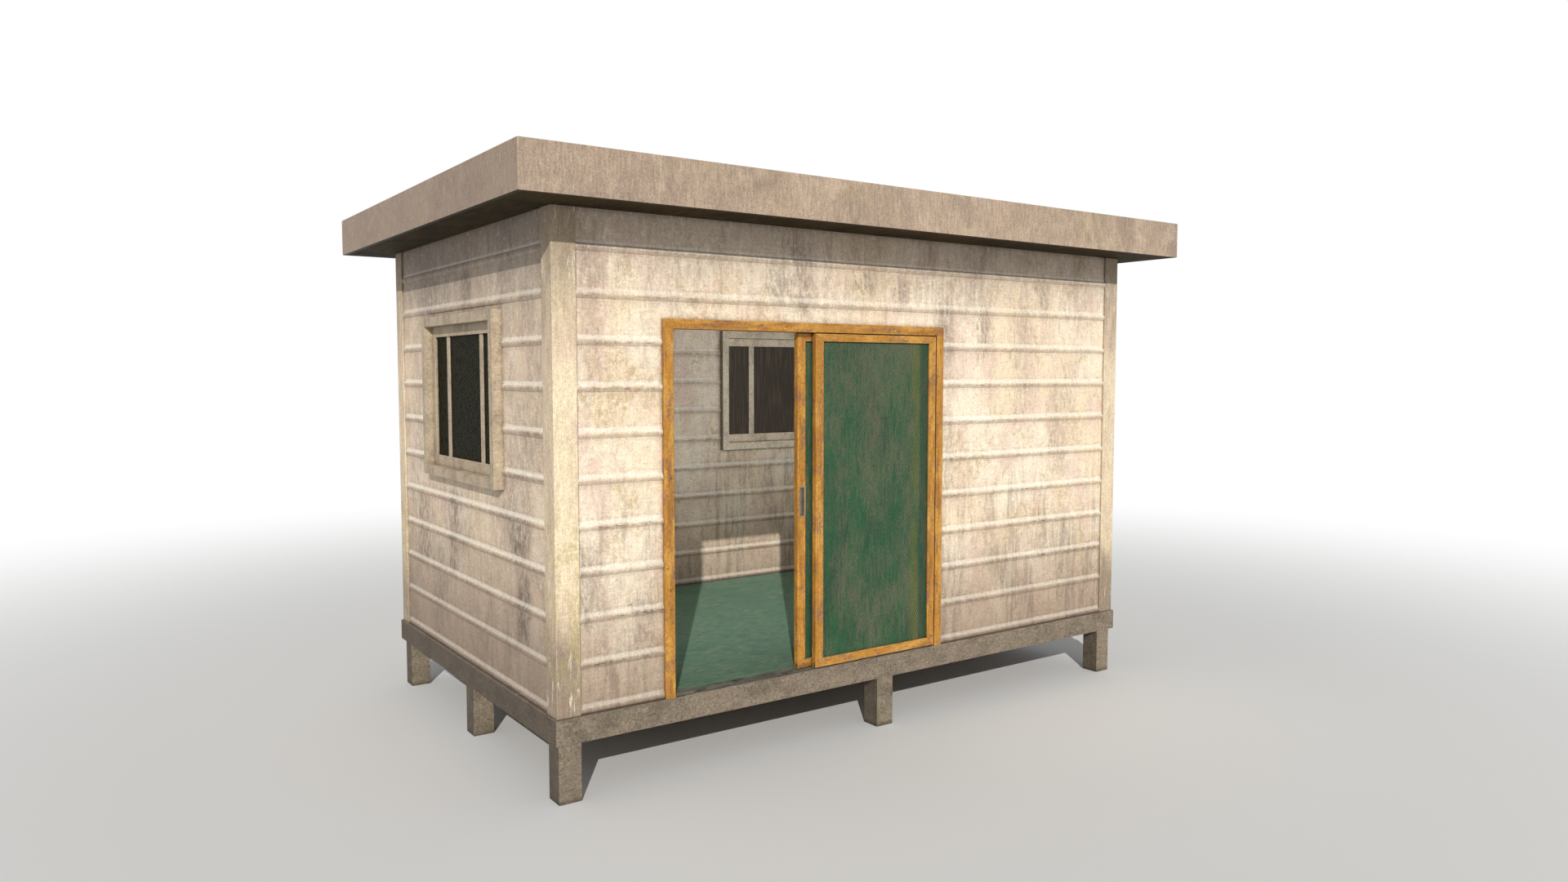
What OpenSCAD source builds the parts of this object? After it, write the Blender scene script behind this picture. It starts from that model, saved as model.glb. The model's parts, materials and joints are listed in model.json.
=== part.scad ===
// Weathered metal shed on short legs: a base frame, ribbed wall panels between
// corner posts, a flat eaved roof, a pair of sliding door leaves and three windows.
// Millimetres, +Z up, front towards -Y, origin on the ground under the middle.

/* [Base] */
// Length of the base frame along the front
base_l = 4000; // [3400:10:5000]
// Depth of the base frame from front to back
base_w = 2490; // [2100:10:3200]
// Height of the base beams
base_h = 123; // [100:1:160]
// Height of the legs under the beams
leg_h = 276; // [150:1:450]
// Side of the square legs
leg_w = 115; // [80:1:150]
// Inset of the left legs from the left end of the base
leg_inset_left = 11; // [0:1:60]
// Inset of the right legs from the right end of the base
leg_inset_right = 52; // [0:1:60]
// Inset of the front legs from the front of the base
leg_inset_front = 0; // [0:1:40]
// Inset of the back legs from the back of the base
leg_inset_back = 65; // [0:1:75]
// Width of a floor joist
joist_w = 50; // [40:1:80]
// Number of floor joists between the side beams
floor_joist_count = 5; // [3:2:9]
// Thickness of the floor deck
deck_t = 20; // [12:1:30]
// Thickness of the floor covering
cover_t = 4; // [2:1:8]

/* [Walls] */
// Height of the walls above the base
wall_h = 2347; // [2250:1:2700]
// Thickness of a wall panel between its ribs
wall_t = 60; // [50:1:90]
// Inset of the wall panels from the edge of the base
wall_inset = 24; // [16:1:40]
// Side of the square corner posts
post_w = 120; // [100:1:160]
// Inset of the corner posts from the edge of the base
post_inset = 12; // [0:1:15]
// Height of the lowest wall rib above the base, which shows its upper half there
rib_first = 16; // [0:1:250]
// Spacing of the ribs
rib_pitch = 215.4; // [150:0.2:300]
// Width of a rib across its bead
rib_w = 36; // [24:1:50]
// How far a rib stands out of the panel
rib_proud = 9; // [4:1:12]

/* [Roof] */
// Overhang of the roof beyond the base at the two ends
eave_side = 243; // [150:1:350]
// Overhang of the roof beyond the base at the front and back
eave_front = 258; // [150:1:350]
// Height of the fascia round the roof
fascia_h = 218; // [160:1:300]
// Thickness of the fascia
fascia_t = 30; // [20:1:45]
// Thickness of the soffit and ceiling sheet
soffit_t = 15; // [8:1:25]
// Thickness of the roof sheet between its ribs
roof_sheet_t = 12; // [6:1:20]
// Drop of the roof ribs below the top of the fascia
roof_lip = 6; // [2:1:15]
// Number of roof joists
roof_joist_count = 7; // [3:1:11]

/* [Door] */
// Distance of the door frame from the left end of the base
door_x = 576; // [300:1:700]
// Width of the door frame over its jambs
door_w = 1833; // [1500:1:2200]
// Height of the door frame above the base
door_h = 1856; // [1750:1:2050]
// Width of a jamb face
jamb_w = 52; // [40:1:80]
// Height of the head face
head_h = 48; // [40:1:80]
// Thickness of a leaf
leaf_t = 34; // [28:1:44]
// Width of a leaf's stiles
stile_w = 51; // [48:1:80]
// Height of a leaf's top rail
top_rail_h = 40; // [36:1:80]
// Height of a leaf's bottom rail
bottom_rail_h = 46; // [42:1:90]
// Thickness of a leaf's panel
panel_t = 10; // [4:1:14]
// Depth of the groove that holds the panel's edge
panel_bite = 9; // [5:1:12]
// Overlap of the two leaves when the doorway is shut
leaf_overlap = 6; // [4:1:45]
// Distance that the inner leaf rests to the left of the outer one
inner_leaf_lead = 91; // [60:1:200]
// Gap round a leaf, and between the two leaves
leaf_gap = 6; // [5:1:9]
// Setback of the outer leaf from the front of its frame
leaf_setback = 2; // [1:1:8]

/* [Sliding gear] */
// Thickness of the threshold plate
sill_t = 4; // [2:1:8]
// Width of a running rail on the threshold
rail_w = 6; // [4:1:8]
// Height of a running rail
rail_h = 10; // [8:1:14]
// Diameter of a roller
roller_d = 18; // [14:1:19]
// Width of a roller
roller_w = 10; // [8:1:12]
// Diameter of a roller's axle
axle_d = 8; // [5:1:10]
// Distance of a roller from the end of its leaf
roller_inset = 120; // [80:1:250]
// Running gap between a roller and its rail
roller_gap = 0.3; // [0.2:0.1:0.6]
// Thickness of the guide tongue along the top of a leaf
tongue_t = 8; // [5:1:10]
// Height of the guide tongue
tongue_h = 17; // [10:1:20]
// Clearance of the tongue in its groove, and of the leaf round its rail
track_gap = 5; // [5:0.5:6]

/* [Pull] */
// Height of the flush pull's lower end above the base
pull_z = 830; // [700:1:1000]
// Length of the flush pull
pull_h = 160; // [120:1:200]
// Width of the flush pull
pull_w = 36; // [30:1:36]
// Depth of the flush pull's cup
pull_d = 14; // [8:1:16]
// Thickness of the flush pull's metal
pull_t = 2; // [1:0.5:3]
// Width of the flush pull's rim round its cup
pull_rim = 5; // [4:1:6]

/* [Windows] */
// Width of a window casing
casing_w = 1156; // [900:1:1400]
// Height of a window casing
casing_h = 906; // [700:1:1100]
// Height of the casings' lower edge above the base
casing_z = 1007; // [800:1:1150]
// Width of a casing's face
casing_face = 53; // [40:1:80]
// How far a casing stands out beyond the edge of the base
casing_out = 30; // [10:1:50]
// How far a casing stands into the room from the wall
casing_in = 40; // [20:1:60]
// Setback of the sash from the casing's outer face
sash_setback = 48; // [30:1:60]
// Thickness of a sash
sash_t = 36; // [28:1:50]
// Width of a sash's upper and lower rails
sash_rail = 60; // [40:1:80]
// Width of a sash's stiles
sash_stile = 46; // [30:1:70]
// Width of the two bars in a sash
bar_w = 48; // [25:1:60]
// Distance of each bar from the middle of the window
bar_offset = 268; // [200:1:320]
// How far a bar is set back from the faces of its sash
bar_setback = 8; // [4:1:10]
// Thickness of the glass
glass_t = 6; // [4:1:10]
// Depth of the groove that holds the glass
glass_bite = 8; // [4:1:14]
// Distance of the back window's middle from the right end of the base
back_window_x = 1037; // [900:1:1900]

/* [Hidden] */
$fn = 48;

// Colours as the photo shows them
cream = [0.80, 0.73, 0.62];
beige = [0.66, 0.58, 0.48];
grey_brown = [0.42, 0.39, 0.33];
dark_brown = [0.20, 0.16, 0.10];
orange = [0.78, 0.49, 0.16];
door_green = [0.13, 0.33, 0.23];
floor_green = [0.20, 0.40, 0.34];
dark_grey = [0.26, 0.26, 0.23];
black_glass = [0.05, 0.06, 0.05];
steel = [0.50, 0.50, 0.48];

// Cuts run past the faces that they open by this much
past = 1;

// Levels and places: heights count from the top of the base, which stands at base_top
base_top = leg_h + base_h;
wall_inner = wall_inset + wall_t;
post_end = post_inset + post_w;
rib_heights = [for (z = [rib_first : rib_pitch : wall_h - rib_w]) z];
bead_r = (pow(rib_w / 2, 2) + pow(rib_proud, 2)) / (2 * rib_proud);

// Door: the leaves run in two tracks behind the front of their frame
door_end = door_x + door_w;
head_z = door_h - head_h;
clear_x = [door_x + jamb_w, door_end - jamb_w];
leaf_w = (clear_x[1] - clear_x[0] - 2 * leaf_gap + leaf_overlap) / 2;
leaf_z = [sill_t + leaf_gap, head_z - leaf_gap];
outer_leaf_at = [clear_x[1] - leaf_gap - leaf_w, leaf_setback];
inner_leaf_at = [outer_leaf_at[0] - inner_leaf_lead, leaf_setback + leaf_t + leaf_gap];
frame_d = inner_leaf_at[1] + leaf_t + leaf_gap;
track_w = rail_w + 2 * track_gap;
roller_z = sill_t + rail_h + roller_gap + roller_d / 2;
track_top = roller_z + roller_d / 2 + 1;
tongue_slot_w = tongue_t + 2 * track_gap;
panel_z = [leaf_z[0] + bottom_rail_h - panel_bite, leaf_z[1] - top_rail_h + panel_bite];

// Windows: each is drawn about the middle of its casing's lower edge
sash_w = casing_w - 2 * casing_face;
sash_h = casing_h - 2 * casing_face;
sash_y = sash_setback - casing_out;
glass_y = sash_y + (sash_t - glass_t) / 2;
side_window_x = base_w / 2;

// Roof
roof_sheet_z = wall_h + fascia_h - roof_lip - rib_proud - roof_sheet_t;

// A block between two corners, given as a span along each axis
module block(x, y, z) {
    translate([x[0], y[0], z[0]]) cube([x[1] - x[0], y[1] - y[0], z[1] - z[0]]);
}

// Stands what is drawn in front elevation on one side of the shed: x runs along the
// wall from its left end seen from outside, y inwards from the base's edge, z up
module on_side(side) {
    places = [
        ["front", [-1, -1], 0], ["right", [1, -1], 90], ["back", [1, 1], 180], ["left", [-1, 1], -90]
    ];
    place = places[search([side], places)[0]];
    translate([place[1][0] * base_l / 2, place[1][1] * base_w / 2, base_top])
        rotate([0, 0, place[2]]) children();
}

// A plate cut to an outline in front elevation, between two depths
module plate(y, outline) {
    translate([0, y[1], 0]) rotate([90, 0, 0]) linear_extrude(y[1] - y[0]) polygon(outline);
}

// Base frame and floor

module beam(x) {
    color(grey_brown) block(x, [0, wall_inner], [-base_h, 0]);
}

module front_beam() {
    on_side("front") beam([0, base_l]);
}

module back_beam() {
    on_side("back") beam([0, base_l]);
}

module side_beams() {
    for (side = ["left", "right"]) on_side(side) beam([wall_inner, base_w - wall_inner]);
}

module floor_joists() {
    spacing = base_l / (floor_joist_count + 1);
    color(grey_brown) on_side("front")
        for (i = [1 : floor_joist_count])
            block([i * spacing - joist_w / 2, i * spacing + joist_w / 2],
                  [wall_inner, base_w - wall_inner], [-base_h, -deck_t - cover_t]);
}

// A row of three legs: at both ends and midway between them
module leg_row(y) {
    left = leg_inset_left;
    right = base_l - leg_inset_right - leg_w;
    color(grey_brown) on_side("front")
        for (x = [left, (left + right) / 2, right])
            block([x, x + leg_w], [y, y + leg_w], [-base_top, -base_h]);
}

back_leg_y = base_w - leg_inset_back - leg_w;

module front_legs() {
    leg_row(leg_inset_front);
}

module middle_legs() {
    leg_row((leg_inset_front + back_leg_y) / 2);
}

module back_legs() {
    leg_row(back_leg_y);
}

module floor_layer(z) {
    on_side("front") block([wall_inner, base_l - wall_inner], [wall_inner, base_w - wall_inner], z);
}

module floor_deck() {
    color(dark_brown) floor_layer([-deck_t - cover_t, -cover_t]);
}

module floor_covering() {
    color(floor_green) floor_layer([-cover_t, 0]);
}

// Walls

module post() {
    color(cream) block([post_inset, post_end], [post_inset, post_end], [0, wall_h]);
}

module front_left_post() {
    on_side("front") post();
}

module front_right_post() {
    on_side("right") post();
}

module back_right_post() {
    on_side("back") post();
}

module back_left_post() {
    on_side("left") post();
}

// Half-round bead standing out of the face at depth y: into is +1 where the panel
// lies behind that face and -1 where it lies in front of it
module bead(y, z, into) {
    translate([y + into * (bead_r - rib_proud), z]) circle(r = bead_r);
}

// Section of a ribbed panel between two heights, with a bead on both faces at each rib
module panel_section(z) {
    translate([wall_inset, z[0]]) square([wall_t, z[1] - z[0]]);
    intersection() {
        translate([wall_inset - rib_proud, z[0]]) square([wall_t + 2 * rib_proud, z[1] - z[0]]);
        for (rib = rib_heights) {
            bead(wall_inset, rib, 1);
            bead(wall_inner, rib, -1);
        }
    }
}

module ribbed_panel(x, z) {
    translate([x[0], 0, 0]) rotate([90, 0, 90]) linear_extrude(x[1] - x[0]) panel_section(z);
}

module front_wall_left() {
    color(cream) on_side("front") ribbed_panel([post_end, door_x], [0, wall_h]);
}

module front_wall_right() {
    color(cream) on_side("front") ribbed_panel([door_end, base_l - post_end], [0, wall_h]);
}

module front_wall_over_door() {
    color(cream) on_side("front") ribbed_panel([door_x, door_end], [door_h, wall_h]);
}

// A whole wall with a hole for the window that stands at window_x
module window_wall(side, length, window_x) {
    color(cream) on_side(side) difference() {
        ribbed_panel([post_end, length - post_end], [0, wall_h]);
        block([window_x - casing_w / 2, window_x + casing_w / 2], [0, wall_inner + casing_in],
              [casing_z, casing_z + casing_h]);
    }
}

module left_wall() {
    window_wall("left", base_w, side_window_x);
}

module right_wall() {
    window_wall("right", base_w, side_window_x);
}

module back_wall() {
    window_wall("back", base_l, back_window_x);
}

// Windows

module window_place(side, window_x) {
    on_side(side) translate([window_x, 0, casing_z]) children();
}

module window_casing() {
    depth = [-casing_out, wall_inner + casing_in];
    color(beige) difference() {
        block([-casing_w / 2, casing_w / 2], depth, [0, casing_h]);
        block([-sash_w / 2, sash_w / 2], [depth[0] - past, depth[1] + past],
              [casing_face, casing_face + sash_h]);
    }
}

// The sheet of glass, with its edges in the sash's groove
module glass_sheet() {
    side = sash_w / 2 - sash_stile + glass_bite;
    rise = sash_rail - glass_bite;
    block([-side, side], [glass_y, glass_y + glass_t],
          [casing_face + rise, casing_face + sash_h - rise]);
}

module window_sash() {
    light_x = sash_w / 2 - sash_stile;
    light_z = [casing_face + sash_rail, casing_face + sash_h - sash_rail];
    color(beige) difference() {
        union() {
            difference() {
                block([-sash_w / 2, sash_w / 2], [sash_y, sash_y + sash_t],
                      [casing_face, casing_face + sash_h]);
                block([-light_x, light_x], [sash_y - past, sash_y + sash_t + past], light_z);
            }
            for (x = [-bar_offset, bar_offset])
                block([x - bar_w / 2, x + bar_w / 2],
                      [sash_y + bar_setback, sash_y + sash_t - bar_setback], light_z);
        }
        glass_sheet();
    }
}

module window_glass() {
    color(black_glass) glass_sheet();
}

module left_window_casing() {
    window_place("left", side_window_x) window_casing();
}

module left_window_sash() {
    window_place("left", side_window_x) window_sash();
}

module left_window_glass() {
    window_place("left", side_window_x) window_glass();
}

module right_window_casing() {
    window_place("right", side_window_x) window_casing();
}

module right_window_sash() {
    window_place("right", side_window_x) window_sash();
}

module right_window_glass() {
    window_place("right", side_window_x) window_glass();
}

module back_window_casing() {
    window_place("back", back_window_x) window_casing();
}

module back_window_sash() {
    window_place("back", back_window_x) window_sash();
}

module back_window_glass() {
    window_place("back", back_window_x) window_glass();
}

// Door frame

// Depth of the middle of each leaf's track
track_y = [outer_leaf_at[1] + leaf_t / 2, inner_leaf_at[1] + leaf_t / 2];

module door_threshold() {
    color(dark_grey) on_side("front") {
        block(clear_x, [0, frame_d], [0, sill_t]);
        for (y = track_y) block(clear_x, [y - rail_w / 2, y + rail_w / 2], [0, sill_t + rail_h]);
    }
}

module door_head() {
    slot_top = leaf_z[1] + tongue_h + track_gap;
    color(orange) on_side("front") difference() {
        block([door_x, door_end], [0, frame_d], [head_z, door_h]);
        for (y = track_y)
            block(clear_x, [y - tongue_slot_w / 2, y + tongue_slot_w / 2], [head_z - past, slot_top]);
    }
}

module door_jambs() {
    color(orange) on_side("front")
        for (x = [door_x, clear_x[1]]) block([x, x + jamb_w], [0, frame_d], [0, head_z]);
}

// Door leaves, each drawn from its own lower left corner

module leaf_place(at) {
    on_side("front") translate([at[0], at[1], 0]) children();
}

module leaf_panel() {
    edge = stile_w - panel_bite;
    block([edge, leaf_w - edge], [(leaf_t - panel_t) / 2, (leaf_t + panel_t) / 2], panel_z);
}

// What is cut from a leaf's frame: the panel's groove and the channel over the rail
module leaf_cuts() {
    leaf_panel();
    block([-past, leaf_w + past], [(leaf_t - track_w) / 2, (leaf_t + track_w) / 2],
          [leaf_z[0] - past, track_top]);
}

// Stile with mitred ends; the right one is its mirror image
module leaf_stiles() {
    outline = [
        [0, leaf_z[0]], [stile_w, leaf_z[0] + bottom_rail_h],
        [stile_w, leaf_z[1] - top_rail_h], [0, leaf_z[1]]
    ];
    color(orange) difference() {
        union() {
            plate([0, leaf_t], outline);
            translate([leaf_w, 0, 0]) mirror([1, 0, 0]) plate([0, leaf_t], outline);
        }
        leaf_cuts();
    }
}

// Rails with mitred ends; the upper one carries the tongue that the head guides
module leaf_rails() {
    inner = [stile_w, leaf_w - stile_w];
    bottom_z = leaf_z[0] + bottom_rail_h;
    top_z = leaf_z[1] - top_rail_h;
    color(orange) {
        difference() {
            union() {
                plate([0, leaf_t], [[0, leaf_z[0]], [leaf_w, leaf_z[0]],
                                    [inner[1], bottom_z], [inner[0], bottom_z]]);
                plate([0, leaf_t], [[0, leaf_z[1]], [inner[0], top_z],
                                    [inner[1], top_z], [leaf_w, leaf_z[1]]]);
            }
            leaf_cuts();
        }
        block([0, leaf_w], [(leaf_t - tongue_t) / 2, (leaf_t + tongue_t) / 2],
              [leaf_z[1], leaf_z[1] + tongue_h]);
    }
}

// Two rollers on axles that span the channel in the bottom rail
module leaf_rollers() {
    color(steel) for (x = [roller_inset, leaf_w - roller_inset])
        translate([x, leaf_t / 2, roller_z]) rotate([90, 0, 0]) {
            cylinder(d = roller_d, h = roller_w, center = true);
            cylinder(d = axle_d, h = track_w, center = true);
        }
}

module outer_leaf_stiles() {
    leaf_place(outer_leaf_at) leaf_stiles();
}

module outer_leaf_rails() {
    leaf_place(outer_leaf_at) leaf_rails();
}

module outer_leaf_panel() {
    color(door_green) leaf_place(outer_leaf_at) leaf_panel();
}

module outer_leaf_rollers() {
    leaf_place(outer_leaf_at) leaf_rollers();
}

// Flush pull: a rimmed plate with a cup behind it, which stands beside the groove
// that holds the panel's edge
pull_end = stile_w - panel_bite - pull_t / 2 + pull_rim;
pull_x = [pull_end - pull_w, pull_end];

// The pull as a solid, which is also what its block is cut away for
module pull_body() {
    block(pull_x, [0, pull_t], [pull_z, pull_z + pull_h]);
    block([pull_x[0] + pull_rim, pull_x[1] - pull_rim], [0, pull_d],
          [pull_z + pull_rim, pull_z + pull_h - pull_rim]);
}

module flush_pull() {
    rim = pull_rim + pull_t;
    color(steel) difference() {
        pull_body();
        block([pull_x[0] + rim, pull_x[1] - rim], [-past, pull_d - pull_t],
              [pull_z + rim, pull_z + pull_h - rim]);
    }
}

// The length of the left stile that the pull is let into is a block of its own, between
// the stile's lower and upper lengths
module pull_length() {
    block([-past, stile_w + past], [-past, leaf_t + past],
          [pull_z - pull_rim, pull_z + pull_h + pull_rim]);
}

module inner_leaf_stiles() {
    leaf_place(inner_leaf_at) difference() {
        leaf_stiles();
        pull_length();
    }
}

module inner_leaf_pull_block() {
    leaf_place(inner_leaf_at) intersection() {
        difference() {
            leaf_stiles();
            pull_body();
        }
        pull_length();
    }
}

module inner_leaf_rails() {
    leaf_place(inner_leaf_at) leaf_rails();
}

module inner_leaf_panel() {
    color(door_green) leaf_place(inner_leaf_at) leaf_panel();
}

module inner_leaf_rollers() {
    leaf_place(inner_leaf_at) leaf_rollers();
}

module inner_leaf_pull() {
    leaf_place(inner_leaf_at) flush_pull();
}

// Roof

// The roof's inside, between the fascias
roof_x = [-eave_side + fascia_t, base_l + eave_side - fascia_t];
roof_y = [-eave_front + fascia_t, base_w + eave_front - fascia_t];

module soffit() {
    color(dark_brown) on_side("front") block(roof_x, roof_y, [wall_h, wall_h + soffit_t]);
}

module roof_joists() {
    spacing = (roof_x[1] - roof_x[0] - joist_w) / (roof_joist_count - 1);
    color(dark_brown) on_side("front")
        for (i = [0 : roof_joist_count - 1])
            block([roof_x[0] + i * spacing, roof_x[0] + i * spacing + joist_w], roof_y,
                  [wall_h + soffit_t, roof_sheet_z]);
}

// Roof sheet with the walls' beads on its upper face, running from front to back
module roof_sheet() {
    span = roof_x[1] - roof_x[0];
    rib_count = floor(span / rib_pitch);
    first = (span - (rib_count - 1) * rib_pitch) / 2;
    color(beige) on_side("front")
        translate([roof_x[0], roof_y[1], roof_sheet_z]) rotate([90, 0, 0])
            linear_extrude(roof_y[1] - roof_y[0]) {
                square([span, roof_sheet_t]);
                intersection() {
                    square([span, roof_sheet_t + rib_proud]);
                    for (i = [0 : rib_count - 1])
                        translate([first + i * rib_pitch, roof_sheet_t + rib_proud - bead_r])
                            circle(r = bead_r);
                }
            }
}

// Fascia board over a side of the base, out by one eave and mitred at both ends, where
// the end eaves reach past that side
module fascia(length, eave, end_eave) {
    outer = [-end_eave, length + end_eave];
    color(beige) translate([0, 0, wall_h]) linear_extrude(fascia_h) polygon([
        [outer[0], -eave], [outer[1], -eave],
        [outer[1] - fascia_t, -eave + fascia_t], [outer[0] + fascia_t, -eave + fascia_t]
    ]);
}

module front_fascia() {
    on_side("front") fascia(base_l, eave_front, eave_side);
}

module back_fascia() {
    on_side("back") fascia(base_l, eave_front, eave_side);
}

module side_fascias() {
    for (side = ["left", "right"]) on_side(side) fascia(base_w, eave_side, eave_front);
}

front_beam();
back_beam();
side_beams();
floor_joists();
front_legs();
middle_legs();
back_legs();
floor_deck();
floor_covering();
front_left_post();
front_right_post();
back_right_post();
back_left_post();
front_wall_left();
front_wall_right();
front_wall_over_door();
left_wall();
right_wall();
back_wall();
left_window_casing();
left_window_sash();
left_window_glass();
right_window_casing();
right_window_sash();
right_window_glass();
back_window_casing();
back_window_sash();
back_window_glass();
door_threshold();
door_head();
door_jambs();
outer_leaf_stiles();
outer_leaf_rails();
outer_leaf_panel();
outer_leaf_rollers();
inner_leaf_stiles();
inner_leaf_rails();
inner_leaf_panel();
inner_leaf_rollers();
inner_leaf_pull_block();
inner_leaf_pull();
soffit();
roof_joists();
roof_sheet();
front_fascia();
back_fascia();
side_fascias();
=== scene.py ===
"""Dresses the metal shed: weathered finishes, rounded edges, floor, light and camera."""

import json
import math
from collections import namedtuple

import bmesh
import bpy
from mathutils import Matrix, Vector


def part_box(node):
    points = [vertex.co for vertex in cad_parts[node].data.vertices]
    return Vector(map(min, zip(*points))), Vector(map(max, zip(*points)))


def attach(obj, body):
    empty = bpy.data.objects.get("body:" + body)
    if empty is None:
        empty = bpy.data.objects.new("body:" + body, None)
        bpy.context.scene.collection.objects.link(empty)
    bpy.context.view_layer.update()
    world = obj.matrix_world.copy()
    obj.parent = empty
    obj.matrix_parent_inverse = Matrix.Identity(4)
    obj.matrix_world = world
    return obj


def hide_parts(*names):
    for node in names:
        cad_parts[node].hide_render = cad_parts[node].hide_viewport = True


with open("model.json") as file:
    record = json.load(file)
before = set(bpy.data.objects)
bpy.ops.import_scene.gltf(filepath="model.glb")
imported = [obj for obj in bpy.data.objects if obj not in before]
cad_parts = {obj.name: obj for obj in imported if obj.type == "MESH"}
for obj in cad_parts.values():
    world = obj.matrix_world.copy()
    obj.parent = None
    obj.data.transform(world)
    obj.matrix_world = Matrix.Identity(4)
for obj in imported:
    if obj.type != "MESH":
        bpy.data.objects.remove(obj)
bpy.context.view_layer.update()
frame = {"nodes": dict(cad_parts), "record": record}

# Level of the base's top in metres, read from the frame
BASE_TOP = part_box("front_beam")[1].z

# The walls' ribs: height of the lowest one's middle over the base, spacing and half width
RIB_FIRST = 0.034
RIB_PITCH = 0.2154
RIB_HALF = 0.018

# Heights over the base: where the walls' upper stains part from their lower ones, and the eaves
MID_HEIGHT = 0.9
EAVES_HEIGHT = 2.35

# Spacing of the door panels' weave and of the mesh on the window panes
WEAVE_PITCH = 0.0165
MESH_PITCH = 0.025

# Distance from a leaf's right side to the line that its panel's mossy strip is measured from
STRIP_LINE = 0.07

# Radius of the rounded edges: on posts, beams, legs and fascias, and on casings, sashes and
# door frames
EDGE_WIDE = 0.003
EDGE_FINE = 0.002

# Points closer than this are welded, edges flatter than one angle vanish, and edges sharper
# than the other are rounded
WELD = 1e-5
FLAT_ANGLE = math.radians(1)
SHARP_ANGLE = math.radians(40)

# Samples of the nodes that find sharp edges and the places for painted corner shade
FINE_SAMPLES = 6

# Directions that faces turn to
LEFT = (-1, 0, 0)
DOWN = (0, 0, -1)

# Floor: its width, its colour and the distances between which it fades to white
FLOOR_SIZE = 120
FLOOR_COLOUR = (0.80, 0.80, 0.79, 1.0)
FADE_FROM = 3.5
FADE_TO = 11.0

# Light: the soft one from all round, the sun, and the one that fills the room
WHITE = (1.0, 1.0, 1.0)
SKY_COLOUR = (0.93, 0.96, 1.0)
SKY_STRENGTH = 0.36
SUN_STRENGTH = 2.75
SUN_WIDTH = math.radians(0.5)
SUN_COLOUR = (1.0, 0.97, 0.93)
SUN_TRAVEL = Vector((0.484, 0.732, -0.455))
SUN_AIM = Vector((0, 0, 2))
SUN_AWAY = 8
ROOM_LIGHT_WATTS = 27.0
ROOM_LIGHT_WIDTH = 3.4
ROOM_LIGHT_HEIGHT = 1.2
ROOM_LIGHT_COLOUR = (0.93, 0.95, 1.0)
ROOM_LIGHT_PLACE = (0, -1.02, 1.95)
ROOM_LIGHT_AIM = (0, 1.1, 1.95)

# Camera: focal length and sensor in millimetres, place in metres, dip and turn in degrees
LENS = 24.44
SENSOR = 36.0
EYE = (-3.9075, -5.7522, 1.9944)
EYE_DIP = 3.665
EYE_TURN = -35.261

# Run-off stains on the walls: the middle's place along the wall, upper and lower ends over
# the base, half width, and strength
Stain = namedtuple("Stain", "middle top foot half strength")
LONG_WALL_STAINS = (
    Stain(middle=0.775, top=1.98, foot=1.66, half=0.060, strength=0.62),
    Stain(middle=1.110, top=2.05, foot=1.30, half=0.110, strength=0.34),
    Stain(middle=1.560, top=1.70, foot=1.25, half=0.070, strength=0.34),
    Stain(middle=1.450, top=1.52, foot=0.90, half=0.110, strength=0.36),
    Stain(middle=0.490, top=1.40, foot=0.80, half=0.060, strength=0.38),
    Stain(middle=0.840, top=0.90, foot=0.32, half=0.090, strength=0.34),
    Stain(middle=1.530, top=0.75, foot=0.05, half=0.110, strength=0.26),
    Stain(middle=-0.740, top=2.16, foot=1.90, half=0.080, strength=0.60),
    Stain(middle=-0.570, top=2.32, foot=1.86, half=0.110, strength=0.60),
    Stain(middle=-0.140, top=2.20, foot=1.96, half=0.085, strength=0.62),
    Stain(middle=0.117, top=2.14, foot=1.90, half=0.080, strength=0.56),
    Stain(middle=0.455, top=2.02, foot=1.62, half=0.085, strength=0.60),
    Stain(middle=1.280, top=2.18, foot=1.93, half=0.080, strength=0.55),
    Stain(middle=-1.800, top=0.82, foot=0.38, half=0.095, strength=0.46),
    Stain(middle=-1.520, top=0.52, foot=0.16, half=0.085, strength=0.50),
    Stain(middle=-1.060, top=1.02, foot=0.66, half=0.090, strength=0.46),
)
SIDE_WALL_STAINS = (
    Stain(middle=0.240, top=0.95, foot=0.40, half=0.100, strength=0.85),
    Stain(middle=-0.760, top=0.90, foot=0.64, half=0.190, strength=1.00),
    Stain(middle=-0.800, top=0.62, foot=0.20, half=0.110, strength=0.95),
    Stain(middle=0.780, top=0.92, foot=0.38, half=0.150, strength=0.75),
    Stain(middle=-0.030, top=2.15, foot=1.90, half=0.100, strength=0.60),
    Stain(middle=0.620, top=2.30, foot=1.75, half=0.160, strength=0.45),
)


def screen(red, green, blue):
    """The linear colour of a screen colour given in levels from 0 to 255."""
    levels = [level / 255 for level in (red, green, blue)]
    return tuple(v / 12.92 if v <= 0.04045 else ((v + 0.055) / 1.055) ** 2.4 for v in levels)


def darker(colour, share):
    """The share of a linear colour."""
    return tuple(level * share for level in colour)


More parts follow.
